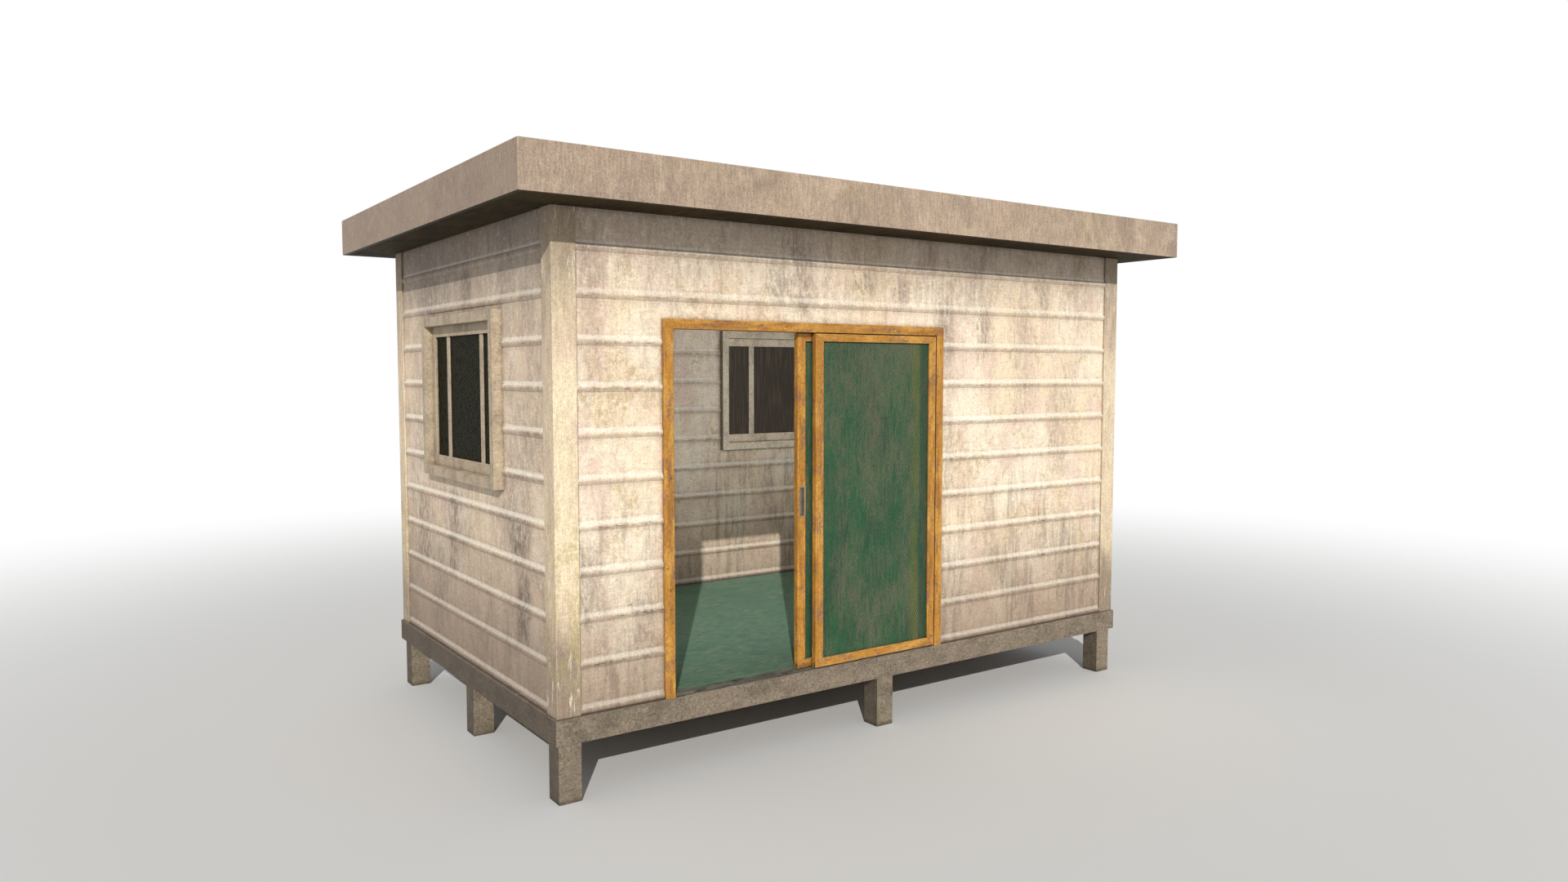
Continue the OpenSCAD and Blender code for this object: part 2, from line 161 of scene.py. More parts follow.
class Shade:
    """An output of a shader node that Python's operators work on."""

    def __init__(self, nodes, socket):
        self.nodes = nodes
        self.socket = socket

    def is_vector(self):
        """Whether the output is a vector or a colour."""
        return self.socket.type in ("VECTOR", "RGBA")

    def work(self, operation, first, second):
        """A Math node for two values, or a Vector Math node where either is a vector or colour."""
        pair = (first, second)
        vector = any(v.is_vector() if isinstance(v, Shade) else not isinstance(v, (int, float))
                     for v in pair)
        if not vector:
            return self.nodes.node("ShaderNodeMath", {"operation": operation}, {0: first, 1: second})
        spread = [(v, v, v) if isinstance(v, (int, float)) else v for v in pair]
        return self.nodes.node("ShaderNodeVectorMath", {"operation": operation},
                               {0: spread[0], 1: spread[1]})

    def __add__(self, other):
        return self.work("ADD", self, other)

    def __radd__(self, other):
        return self.work("ADD", other, self)

    def __sub__(self, other):
        return self.work("SUBTRACT", self, other)

    def __rsub__(self, other):
        return self.work("SUBTRACT", other, self)

    def __mul__(self, other):
        return self.work("MULTIPLY", self, other)

    def __rmul__(self, other):
        return self.work("MULTIPLY", other, self)

    def __truediv__(self, other):
        return self.work("DIVIDE", self, other)

    def __rtruediv__(self, other):
        return self.work("DIVIDE", other, self)

    def __pow__(self, other):
        return self.work("POWER", self, other)

    def __rpow__(self, other):
        return self.work("POWER", other, self)

    def __abs__(self):
        return self.nodes.node("ShaderNodeMath", {"operation": "ABSOLUTE"}, {0: self})

    def part(self):
        """What is left over the whole number below."""
        return self.nodes.node("ShaderNodeMath", {"operation": "FRACT"}, {0: self})

    def whole(self):
        """The whole number below."""
        return self.nodes.node("ShaderNodeMath", {"operation": "FLOOR"}, {0: self})

    def sine(self):
        """The sine of an angle in radians."""
        return self.nodes.node("ShaderNodeMath", {"operation": "SINE"}, {0: self})

    def most(self, other):
        """The larger of two values."""
        return self.work("MAXIMUM", self, other)

    def step(self, low, high):
        """0 at low and 1 at high, with a smooth change between them."""
        return self.nodes.node("ShaderNodeMapRange", {"interpolation_type": "SMOOTHSTEP"},
                               {"Value": self, "From Min": low, "From Max": high})


class Nodes:
    """A tree of shader nodes."""

    def __init__(self, tree):
        self.tree = tree

    def feed(self, socket, value):
        """Links an output to the socket, or sets the socket to a constant."""
        if isinstance(value, Shade):
            self.tree.links.new(value.socket, socket)
        elif socket.type == "RGBA" and len(value) == 3:
            socket.default_value = (*value, 1.0)
        else:
            socket.default_value = value

    def node(self, kind, settings=None, inputs=None, output=0):
        """Adds a node with its settings and its sockets' values or links; returns one output."""
        made = self.tree.nodes.new(kind)
        for name, value in (settings or {}).items():
            setattr(made, name, value)
        for name, value in (inputs or {}).items():
            self.feed(made.inputs[name], value)
        return Shade(self, made.outputs[output]) if made.outputs else None


class Finish(Nodes):
    """A material with one Principled shader, built up from nodes."""

    def __init__(self, name):
        self.material = bpy.data.materials.new(name)
        self.material.use_nodes = True
        super().__init__(self.material.node_tree)
        self.shader = self.tree.nodes["Principled BSDF"]
        self.place = self.node("ShaderNodeTexCoord", output="Object")
        self.across = self.node("ShaderNodeSeparateXYZ", inputs={0: self.place}, output="X")
        self.deep = self.node("ShaderNodeSeparateXYZ", inputs={0: self.place}, output="Y")
        self.up = self.node("ShaderNodeSeparateXYZ", inputs={0: self.place}, output="Z")
        self.run = self.across + self.deep

    def noise(self, across, up, detail=3.0, roughness=0.55, distortion=0.0):
        """Cloudy noise over a face, from about 0.2 to 0.8, at the two scaled places."""
        spot = self.node("ShaderNodeCombineXYZ", inputs={0: across, 1: up})
        return self.node("ShaderNodeTexNoise", {"noise_dimensions": "2D"},
                         {"Vector": spot, "Scale": 1.0, "Detail": detail,
                          "Roughness": roughness, "Distortion": distortion})

    def cloud(self, scale, detail=3.0, roughness=0.55, distortion=0.0):
        """Cloudy noise in space; the scale is one number or one for each direction."""
        return self.node("ShaderNodeTexNoise", {"noise_dimensions": "3D"},
                         {"Vector": self.place * scale, "Scale": 1.0, "Detail": detail,
                          "Roughness": roughness, "Distortion": distortion})

    def mix(self, below, above, share):
        """The lower colour with a share of the upper one over it."""
        return self.node("ShaderNodeMix", {"data_type": "RGBA"}, {0: share, 6: below, 7: above}, 2)

    def shade_facing(self, direction):
        """Mask for painted shade: 1 on faces turned that way, away from the light, and 0 on the
        others.
        """
        normal = self.node("ShaderNodeNewGeometry", output="Normal")
        toward = self.node("ShaderNodeVectorMath", {"operation": "DOT_PRODUCT"},
                           {0: normal, 1: direction}, "Value")
        return toward.step(0.45, 0.85)

    def edges(self, radius):
        """1 on the piece's sharp edges and 0 away from them."""
        rounded = self.node("ShaderNodeBevel", {"samples": FINE_SAMPLES}, {"Radius": radius})
        plain = self.node("ShaderNodeNewGeometry", output="Normal")
        along = self.node("ShaderNodeVectorMath", {"operation": "DOT_PRODUCT"},
                          {0: rounded, 1: plain}, "Value")
        return (1.0 - along).step(0.02, 0.22)

    def corners(self, reach):
        """Painted shade: 1 deep in each corner that the piece makes with its neighbours, and 0 in
        the open.
        """
        open_share = self.node("ShaderNodeAmbientOcclusion", {"samples": FINE_SAMPLES},
                               {"Distance": reach}, "AO")
        return (1.0 - open_share).step(0.12, 0.75)

    def grit(self, small, large):
        """Granular light and dark about 0: grains of about 9 mm and of about 20 mm."""
        fine = self.cloud(115, 3.0, 0.75) - 0.5
        coarse = self.cloud(52, 4.0, 0.75) - 0.5
        return fine * small + coarse * large

    def wear(self, colour, roughness, height, distance, metallic=0.0, gloss=0.5):
        """Sets the shader: colour, roughness and the fine relief."""
        self.feed(self.shader.inputs["Base Color"], colour)
        self.feed(self.shader.inputs["Roughness"], roughness)
        relief = self.node("ShaderNodeBump", inputs={"Distance": distance, "Height": height})
        self.feed(self.shader.inputs["Normal"], relief)
        self.shader.inputs["Metallic"].default_value = metallic
        self.shader.inputs["Specular IOR Level"].default_value = gloss
        return self.material


def smear(height, run, ragged, hatch, stain):
    """A run-off stain that wanders and breaks up into short upright strokes."""
    side = abs(run + ragged * 0.22 + height * 0.05 - stain.middle - stain.foot * 0.05)
    side = side.step(stain.half * 1.6, 0.0)
    above = height.step(stain.top + 0.10, stain.top - 0.10)
    below = height.step(stain.foot - 0.08, stain.foot + 0.14)
    middle = side * above * below
    return (middle + ragged * 1.5).step(0.15, 0.95) * middle.step(0.0, 0.50) * (0.22 + 0.78 * hatch)


def wall_finish(name, along, stains):
    """Cream paint on ribbed sheet: mottled, stained from the eaves down, dirty at its foot.

    The wall runs along "x" or "y".
    """
    f = Finish(name)
    cream = screen(252, 236, 211)
    sand = screen(247, 225, 193)
    blush = screen(236, 209, 188)
    olive = screen(198, 175, 130)
    grime = screen(134, 113, 98)
    mauve = screen(160, 138, 118)
    dirt = screen(72, 62, 54)
    soot = screen(98, 85, 73)
    bright = screen(255, 249, 234)
    height = f.up - BASE_TOP
    run = f.across if along == "x" else f.deep
    bay = (height - RIB_FIRST) / RIB_PITCH
    off_rib = ((bay + 0.5).part() - 0.5) * RIB_PITCH
    rib = (bay + 0.5).whole()

    # Mottled paint
    colour = f.mix(cream, sand, f.noise(run * 1.3, height * 1.1, 5.0, 0.65).step(0.42, 0.62))
    rosy = f.noise(run * 4.3 + 7.3, height * 2.6, 6.0, 0.7).step(0.44, 0.64)
    colour = f.mix(colour, blush, rosy * 0.8)
    tinge = f.noise(run * 2.6 + 21.0, height * 2.3, 6.0, 0.74).step(0.49, 0.66)
    tinge = tinge * f.noise(run * 31, height * 24, 4.0, 0.75).step(0.38, 0.60)
    colour = f.mix(colour, olive, tinge * 0.66)

    # Stains that run down from the eaves, wide ones and narrow ones, with ragged sides
    high = height.step(MID_HEIGHT, EAVES_HEIGHT)
    low = height.step(MID_HEIGHT, 0.05)
    ragged = (f.noise(run * 36, height * 10, 5.0, 0.80) - 0.5) * 0.8
    wide = (f.noise(run * 5.2, height * 0.75, 5.0, 0.62) + ragged).step(0.46, 0.84)
    narrow = (f.noise(run * 17, height * 1.35, 4.0, 0.62) + ragged).step(0.52, 0.86)
    wide = wide * (0.12 + 0.58 * high + 0.36 * low)
    narrow = narrow * (0.08 + 0.40 * high + 0.30 * low)
    stain = wide.most(narrow)
    colour = f.mix(colour, grime, stain * 0.74)

    # The foot of the wall darkens, and so does its top
    uneven = (f.noise(run * 3.6, height * 2.0, 5.0, 0.66) - 0.5) * 0.7 + ragged * 0.16
    foot = (height + uneven * 0.6).step(0.92, 0.0)
    colour = f.mix(colour, mauve, foot * 0.78)
    colour = f.mix(colour, grime, (height + uneven * 0.3).step(0.30, -0.10) * 0.34)
    top = (height + uneven * 0.5).step(1.85, 2.40) * 0.62
    colour = f.mix(colour, grime, top)
    if along == "y":
        tan = screen(184, 160, 141)
        brown = screen(118, 103, 90)
        umber = screen(120, 106, 92)
        slate_shade = screen(96, 88, 84)
        blotch = f.noise(run * 2.4 + 4.0, height * 1.3, 6.0, 0.74).step(0.38, 0.64)
        blotch = blotch * f.noise(run * 26, height * 12, 5.0, 0.8).step(0.30, 0.62)
        colour = f.mix(colour, tan, 0.36 + 0.6 * uneven)
        colour = f.mix(colour, brown, blotch * 0.50)
        colour = f.mix(colour, umber, (height + uneven * 0.4).step(0.80, 0.15) * 0.42)
        # Painted shade at the top, under the eaves
        colour = f.mix(colour, slate_shade, (height + uneven).step(1.65, 2.25) * 0.50)

    # Drips of dirt down the lower half, fainter on the side walls
    drip = (f.noise(run * 21 + 3.0, height * 1.9, 5.0, 0.72) + ragged * 0.40).step(0.42, 0.68)
    drip = drip * f.noise(run * 3.3 + 9.0, height * 1.7, 4.0, 0.65).step(0.34, 0.58)
    drip_share = 0.46 if along == "x" else 0.20
    colour = f.mix(colour, soot, drip * height.step(1.25, 0.65) * drip_share)

    # Stains that have their own places
    hatch = f.noise(run * 34 + height * 6, height * 13, 5.0, 0.80).step(0.40, 0.60)
    for mark in stains:
        shape = smear(height, run, ragged, hatch, mark)
        colour = f.mix(colour, soot, shape * (mark.strength * 0.90))

    # The ribs' crests get a painted highlight, with painted shade in a soft band under them
    below = off_rib + RIB_HALF
    under = below.step(0.002, -0.008) * below.step(-0.050, -0.006)
    colour = f.mix(colour, mauve, under * 0.30)
    crest_highlight = abs(off_rib - 0.003).step(0.015, 0.004)
    colour = f.mix(colour, bright, crest_highlight * (0.60 - 0.30 * foot - 0.34 * height.step(1.6, 2.2)))
    # A thin dark line under each rib: painted shade all along it, with patches of dirt
    shelf = abs(off_rib + RIB_HALF + 0.002).step(0.011, 0.001)
    broken = f.noise(run * 22, rib * 3.1 + off_rib * 70, 5.0, 0.80).step(0.44, 0.62)
    broken = broken * f.noise(run * 2.1, rib * 2.3, 3.0, 0.6).step(0.38, 0.60)
    broken = broken * (1.0 - 0.6 * high)
    colour = f.mix(colour, dirt, shelf * (0.15 + 0.66 * broken))
    # Broken lines of dirt above the ribs
    over = abs(off_rib - RIB_HALF - 0.004).step(0.010, 0.001)
    over = over * f.noise(run * 19, rib * 4.7 + off_rib * 60, 5.0, 0.80).step(0.48, 0.62)
    colour = f.mix(colour, dirt, over * (0.26 - 0.18 * high))
    # Painted shade in the corners
    colour = f.mix(colour, dirt, f.corners(0.05) * 0.70)

    # Grain of the sheet: granules, upright fibres and some level ones
    grit = f.grit(0.90, 0.42)
    fibre = f.noise(run * 105, height * 9, 3.0, 0.7) - 0.5
    strand = f.noise(run * 38, height * 3.2, 4.0, 0.72) - 0.5
    cross = f.noise(run * 14, height * 95, 3.0, 0.7) - 0.5
    grain = grit + fibre * 0.30 + strand * 0.14 + cross * 0.34
    colour = colour * (1.0 + grain)

    # A few light scratches on a slant, rubbed spots and dark specks
    slant = run * 0.93 + height * 0.36
    across = run * 0.36 - height * 0.93
    scratch = f.noise(slant * 4.0, across * 190, 2.0).step(0.66, 0.72)
    scratch = scratch * f.noise(run * 1.1 + 11.0, height * 1.5, 2.0).step(0.56, 0.64)
    scratch = scratch * height.step(0.5, 0.8) * height.step(1.7, 1.4)
    colour = f.mix(colour, bright, scratch * 0.45)
    rubbed = f.noise(run * 44, height * 26, 4.0, 0.78).step(0.56, 0.70) * (1.0 - foot)
    colour = f.mix(colour, bright, rubbed * 0.30)
    speck = f.cloud(90, 2.0, 0.7).step(0.63, 0.73)
    colour = f.mix(colour, dirt, speck * 0.42)

    roughness = 0.66 + stain * 0.16 + foot * 0.12 - scratch * 0.10
    wave = f.noise(run * 1.9, height * 2.4, 2.0)
    relief = grain * 0.7 + speck * -0.4 + scratch * -0.3 + wave * 2.0
    return f.wear(colour, roughness, relief, 0.0016)


def post_finish():
    """Cream paint on the corner posts, with yellow-green patches, dirt at the foot, and painted
    shade at the top and on the faces turned left.
    """
    f = Finish("post_paint")
    cream = screen(248, 228, 194)
    blush = screen(233, 209, 181)
    tan = screen(208, 187, 156)
    mauve = screen(156, 136, 120)
    olive = screen(188, 174, 108)
    grime = screen(130, 112, 98)
    bright = screen(255, 245, 224)
    height = f.up - BASE_TOP
    colour = f.mix(cream, blush, f.cloud((9, 9, 3.0), 5.0, 0.65).step(0.44, 0.62))
    colour = f.mix(colour, tan, f.cloud((26, 26, 9), 5.0, 0.75).step(0.50, 0.68) * 0.5)
    uneven = (f.cloud((12, 12, 3.5), 5.0, 0.7) - 0.5) * 0.7
    # Painted shade at the top, under the eaves, and dirt at the foot
    upper_end_shade = (height + uneven).step(1.60, 2.30) * 0.80
    lower_end = (height + uneven * 0.7).step(0.56, 0.20) * 0.84
    ends = upper_end_shade.most(lower_end)
    colour = f.mix(colour, grime, ends)
    algae = f.cloud((8, 8, 4.2), 5.0, 0.70).step(0.40, 0.56)
    algae = algae * (0.22 + 0.78 * abs(height - 0.55).step(0.55, 0.15))
    algae = algae * f.cloud(44, 4.0, 0.75).step(0.34, 0.58)
    algae = algae * (0.3 + 0.7 * f.across.step(0.5, -0.5))
    colour = f.mix(colour, olive, algae * 0.62)
    colour = f.mix(colour, grime, f.across.step(1.4, 1.8) * (0.10 + 0.5 * (uneven + 0.1)))
    # Painted shade on the faces turned left
    colour = f.mix(colour, mauve, f.shade_facing(LEFT) * 0.36)
    scrape = f.cloud((40, 40, 6), 4.0, 0.75).step(0.57, 0.66)
    scrape = scrape * height.step(1.7, 2.1).most(height.step(0.6, 0.2))
    colour = f.mix(colour, bright, scrape * 0.50)
    # Painted shade in the corners
    colour = f.mix(colour, darker(grime, 0.5), f.corners(0.04) * 0.75)
    # Paler edges in patches: painted highlight and rubbed paint
    edge_highlight_and_wear = f.edges(0.006) * f.cloud((30, 30, 9), 3.0).step(0.35, 0.6)
    colour = f.mix(colour, bright, edge_highlight_and_wear * 0.6)
    fibre = f.cloud((115, 115, 10), 3.0, 0.68) - 0.5
    grain = f.grit(1.0, 0.65) + fibre * 0.65
    colour = colour * (1.0 + grain)
    speck = f.cloud(90, 2.0, 0.7).step(0.64, 0.73)
    colour = f.mix(colour, darker(grime, 0.6), speck * 0.42)
    return f.wear(colour, 0.66 + ends * 0.2, grain + speck * -0.4, 0.0014)


def roof_finish():
    """Cloudy beige and mauve paint on the fascias and the roof sheet."""
    f = Finish("roof_paint")
    tan = screen(184, 161, 139)
    mauve = screen(142, 124, 110)
    pale = screen(204, 183, 157)
    olive = screen(176, 157, 124)
    dirt = screen(94, 80, 70)
    shade = screen(46, 37, 20)
    colour = f.mix(tan, mauve, f.cloud(2.3, 6.0, 0.66, 0.4).step(0.40, 0.68) * 0.62)
    colour = f.mix(colour, pale, f.cloud(4.6, 6.0, 0.7).step(0.48, 0.66) * 0.6)
    colour = f.mix(colour, olive, f.cloud(3.1, 5.0, 0.7).step(0.52, 0.70) * 0.4)
    stain = f.cloud((4.0, 4.0, 2.2), 5.0, 0.7).step(0.52, 0.72)
    colour = f.mix(colour, darker(mauve, 0.8), stain * 0.22)
    # Painted shade on the faces turned left
    colour = f.mix(colour, darker(mauve, 0.75), f.shade_facing(LEFT) * 0.44)
    colour = f.mix(colour, mauve, f.across.step(0.2, -2.2) * 0.24)
    # Paler edges: painted highlight and rubbed paint
    edge_highlight_and_wear = f.edges(0.007)
    colour = f.mix(colour, pale, edge_highlight_and_wear * 0.5)
    swirl = f.cloud(34, 5.0, 0.78, 1.0) - 0.5
    fibre = f.cloud((95, 95, 14), 3.0, 0.7) - 0.5
    grain = f.grit(1.30, 0.35) + swirl * 0.30 + fibre * 1.05
    colour = colour * (1.0 + grain)
    speck = f.cloud(85, 2.0, 0.7).step(0.64, 0.73)
    colour = f.mix(colour, dirt, speck * 0.45)
    colour = f.mix(colour, shade, f.shade_facing(DOWN))
    return f.wear(colour, 0.70 + stain * 0.12, grain, 0.0016)


def soffit_finish():
    """Dark brown paint under the eaves, made darker still as painted shade, faintly streaked."""
    f = Finish("soffit_paint")
    brown = screen(56, 44, 18)
    dark = screen(34, 26, 11)
    dusty = screen(76, 62, 34)
    colour = f.mix(brown, dark, f.cloud(3, 5.0, 0.6).step(0.42, 0.66))
    streak = f.cloud((40, 5, 4), 4.0, 0.65).step(0.48, 0.70)
    colour = f.mix(colour, dusty, streak * 0.45)
    grain = f.grit(1.3, 0.7)
    return f.wear(colour * (1.0 + grain), 0.85 - streak * 0.1, grain, 0.0012, gloss=0.2)


def base_finish(name, grey, brown):
    """Grey-brown gritty paint on the base frame, with moss low down."""
    f = Finish(name)
    pale = screen(176, 162, 142)
    moss = screen(112, 110, 66)
    dirt = screen(62, 53, 45)
    colour = f.mix(grey, brown, f.cloud((5, 5, 8), 6.0, 0.68).step(0.42, 0.62) * 0.7)
    colour = f.mix(colour, pale, f.cloud((12, 12, 18), 5.0, 0.70).step(0.52, 0.68) * 0.5)
    low = f.up.step(0.30, 0.0)
    growth = (f.cloud((11, 11, 9), 5.0, 0.7) + low * 0.12).step(0.52, 0.70)
    growth = growth * f.cloud(70, 3.0, 0.7).step(0.36, 0.58)
    colour = f.mix(colour, moss, growth * (0.18 + 0.30 * low))
    colour = f.mix(colour, dirt, f.up.step(0.035, 0.0) * 0.5)
    # Painted shade on the faces turned left and in the corners
    colour = f.mix(colour, dirt, f.shade_facing(LEFT) * 0.66)
    colour = f.mix(colour, dirt, f.corners(0.05) * 0.6)
    # Paler edges: painted highlight and rubbed paint
    edge_highlight_and_wear = f.edges(0.007)
    colour = f.mix(colour, pale, edge_highlight_and_wear * 0.5)
    flake = f.cloud((46, 46, 105), 4.0, 0.75) - 0.5
    stony = f.cloud(78, 5.0, 0.80, 0.6) - 0.5
    grain = f.grit(1.6, 1.0) + flake * 1.1 + stony * 1.3
    colour = colour * (1.0 + grain)
    pit = f.cloud(80, 2.0, 0.7).step(0.62, 0.72)
    colour = f.mix(colour, darker(dirt, 0.7), pit * 0.5)
    return f.wear(colour, 0.82 - edge_highlight_and_wear * 0.15, grain - pit * 0.5, 0.0045, gloss=0.4)


def casing_finish(name, beige, grey, shaded):
    """Beige paint on window casings and sashes, with an olive tint in places.

    Shaded is the share of painted shade on the faces turned to the left.
    """
    f = Finish(name)
    olive = screen(170, 158, 112)
    pale = screen(236, 220, 192)
    dirt = screen(78, 68, 58)
    colour = f.mix(beige, grey, f.cloud((9, 9, 6), 5.0, 0.66).step(0.42, 0.64) * 0.8)
    colour = f.mix(colour, olive, f.cloud((6, 6, 8), 5.0, 0.66).step(0.52, 0.70) * 0.45)
    # Painted shade in the corners and on the faces turned to the left
    colour = f.mix(colour, dirt, f.corners(0.03) * 0.55)
    colour = f.mix(colour, dirt, f.shade_facing(LEFT) * shaded)
    # Paler edges in patches: painted highlight and rubbed paint
    edge_highlight_and_wear = f.edges(0.006)
    colour = f.mix(colour, pale, edge_highlight_and_wear * f.cloud(24, 3.0).step(0.34, 0.6) * 0.7)
    fibre = f.cloud((25, 25, 160), 2.0) - 0.5
    grain = f.grit(1.0, 0.7) + fibre * 0.5
    colour = colour * (1.0 + grain)
    speck = f.cloud(95, 2.0, 0.7).step(0.63, 0.73)
    colour = f.mix(colour, dirt, speck * 0.45)
    return f.wear(colour, 0.70 - edge_highlight_and_wear * 0.1, grain, 0.0012)


def door_finish(name, along):
    """Orange paint worn to brown, with the grain along the piece: "up" or "across"."""
    f = Finish(name)
    orange = screen(188, 131, 46)
    yellow = screen(210, 156, 70)
    amber = screen(158, 104, 42)
    rust = screen(132, 101, 84)
    dark = screen(62, 40, 22)
    pale = screen(236, 190, 118)
    if along == "up":
        long_way = f.up
        short_way = f.run
        fine = (150, 150, 13)
        middle = (30, 30, 4.0)
    else:
        long_way = f.run
        short_way = f.up
        fine = (13, 13, 150)
        middle = (4.0, 4.0, 30)
    colour = f.mix(orange, amber, f.cloud(middle, 5.0, 0.66).step(0.44, 0.62) * 0.85)
    sunny = f.noise(long_way * 4.1, short_way * 17, 5.0, 0.65).step(0.46, 0.64)
    colour = f.mix(colour, yellow, sunny * 0.8)
    worn = f.noise(long_way * 6.3 + 2.0, short_way * 19, 6.0, 0.72).step(0.50, 0.66)
    worn = worn * f.cloud(56, 4.0, 0.78).step(0.34, 0.58)
    colour = f.mix(colour, rust, worn * 0.82)
    grime = f.cloud(60, 5.0, 0.78).step(0.52, 0.66) * f.cloud(9, 4.0, 0.7).step(0.38, 0.60)
    colour = f.mix(colour, dark, grime * 0.42)
    knot = f.cloud(38, 2.0, 0.5).step(0.69, 0.75)
    colour = f.mix(colour, dark, knot * 0.6)
    # Painted shade in the corners
    colour = f.mix(colour, dark, f.corners(0.025) * 0.85)
    # Paler edges in patches: painted highlight and rubbed paint
    edge_highlight_and_wear = f.edges(0.005) * f.cloud(20, 3.0).step(0.36, 0.56)
    colour = f.mix(colour, pale, edge_highlight_and_wear * 0.6)
    fibre = f.cloud(fine, 3.0, 0.65) - 0.5
    grain = f.grit(1.35, 0.85) + fibre * 0.6
    colour = colour * (1.0 + grain)
    return f.wear(colour, 0.58 + worn * 0.25, grain - worn * 0.7, 0.0014)


def panel_finish(name, line):
    """Green door panel under thin dust, with a slanting weave and a mossy strip left of the line."""
    f = Finish(name)
    green = screen(38, 78, 52)
    bright = screen(32, 86, 52)
    deep = screen(32, 60, 44)
    dust = screen(114, 106, 88)
    moss = screen(122, 116, 44)
    shady = f.noise(f.across * 3.7, f.up * 1.6, 4.0, 0.6).step(0.46, 0.68)
    colour = f.mix(green, deep, shady * 0.5)
    vivid = f.noise(f.across * 7 + 4.0, f.up * 3.3, 5.0, 0.7).step(0.46, 0.64)
    colour = f.mix(colour, bright, vivid * 0.7)
    veil = f.noise(f.across * 74, f.up * 8, 4.0, 0.75) - 0.5
    cloudy = f.noise(f.across * 5.5 + 3.0, f.up * 2.2, 6.0, 0.72) - 0.5
    streak = (cloudy * 1.1 + veil * 0.9 + f.up.step(0.6, 2.6) * 0.10 + 0.5).step(0.30, 0.80)
    colour = f.mix(colour, dust, streak * 0.52)
    turn = 2 * math.pi / WEAVE_PITCH
    slanted = ((f.across * 0.92 - f.up * 0.40) * turn).sine()
    crossed = ((f.across * 0.30 + f.up * 0.95) * turn).sine()
    weave = slanted * crossed
    patch = f.noise(f.across * 2.6, f.up * 1.7 + 5.0, 3.0).step(0.36, 0.62)
    fine = f.noise(f.across * 130, f.up * 60, 3.0, 0.7) - 0.5
    colour = colour * (1.0 + weave * (0.14 + 0.32 * patch) + fine * 0.9 + f.grit(0.8, 0.4))
    gap = line - f.across
    strip = abs(gap - 0.075).step(0.050, 0.015)
    strip = strip * f.noise(f.across * 9, f.up * 2.2, 3.0).step(0.30, 0.52)
    colour = f.mix(colour, moss, strip * weave.step(-0.1, 0.6) * 0.92)
    colour = f.mix(colour, darker(deep, 0.75), gap.step(0.050, 0.030) * 0.45)
    speck = f.noise(f.across * 110, f.up * 110, 2.0, 0.7).step(0.62, 0.72)
    colour = f.mix(colour, moss, speck * 0.25)
    # Painted shade in the corners
    colour = f.mix(colour, darker(deep, 0.6), f.corners(0.03) * 0.7)
    return f.wear(colour, 0.62 + streak * 0.2, weave * 0.6 + veil, 0.0008, gloss=0.3)


def floor_finish():
    """Green floor sheet with fine grey ripples along the shed."""
    f = Finish("floor_sheet")
    green = screen(96, 134, 112)
    pale = screen(132, 150, 124)
    deep = screen(74, 112, 104)
    shady = f.noise(f.across * 6.0, f.deep * 9.0, 5.0, 0.7).step(0.42, 0.66)
    colour = f.mix(green, deep, shady * 0.5)
    ripple = f.noise(f.across * 13, f.deep * 58, 3.0, 0.6, 0.3).step(0.42, 0.62)
    patch = f.noise(f.across * 3.0, f.deep * 4.0, 4.0, 0.65).step(0.36, 0.60)
    colour = f.mix(colour, pale, ripple * (0.40 + 0.45 * patch))
    grain = f.noise(f.across * 60, f.deep * 160, 3.0, 0.7) - 0.5
    colour = colour * (1.0 + grain * 0.4)
    return f.wear(colour, 0.62 + ripple * 0.15, ripple + grain, 0.0009, gloss=0.3)


def sill_finish():
    """Dark grey worn threshold, scuffed along its rails."""
    f = Finish("sill_metal")
    grey = screen(100, 98, 86)
    dark = screen(58, 55, 47)
    scuff = screen(152, 146, 132)
    colour = f.mix(grey, dark, f.cloud((9, 60, 30), 4.0, 0.65).step(0.42, 0.62))
    colour = f.mix(colour, scuff, f.cloud((7, 160, 60), 3.0).step(0.54, 0.66) * 0.6)
    grit = f.cloud(170, 2.0, 0.7) - 0.5
    colour = colour * (1.0 + grit * 0.7)
    colour = f.mix(colour, scuff, f.edges(0.003) * 0.6)
    return f.wear(colour, 0.62 + grit * 0.3, grit, 0.0010, metallic=0.2)


def board_finish():
    """Brown boards of the floor deck."""
    f = Finish("deck_board")
    brown = screen(120, 98, 70)
    dark = screen(72, 56, 38)
    rings = f.cloud((2, 46, 46), 4.0, 0.6, 0.5)
    colour = f.mix(brown, dark, rings.step(0.40, 0.64))
    grain = f.cloud((12, 220, 220), 2.0) - 0.5
    return f.wear(colour * (1.0 + grain * 0.5), 0.82, grain + rings, 0.0012)


def steel_finish(name, tone):
    """Dull grey metal with fine scratches."""
    f = Finish(name)
    plain = screen(*tone)
    stain = screen(92, 76, 62)
    colour = f.mix(plain, stain, f.cloud((40, 40, 22), 4.0, 0.65).step(0.50, 0.70) * 0.6)
    brushed = f.cloud((420, 420, 30), 2.0) - 0.5
    colour = colour * (1.0 + brushed * 0.4)
    return f.wear(colour, 0.46 + brushed * 0.4, brushed, 0.0004, metallic=0.65)


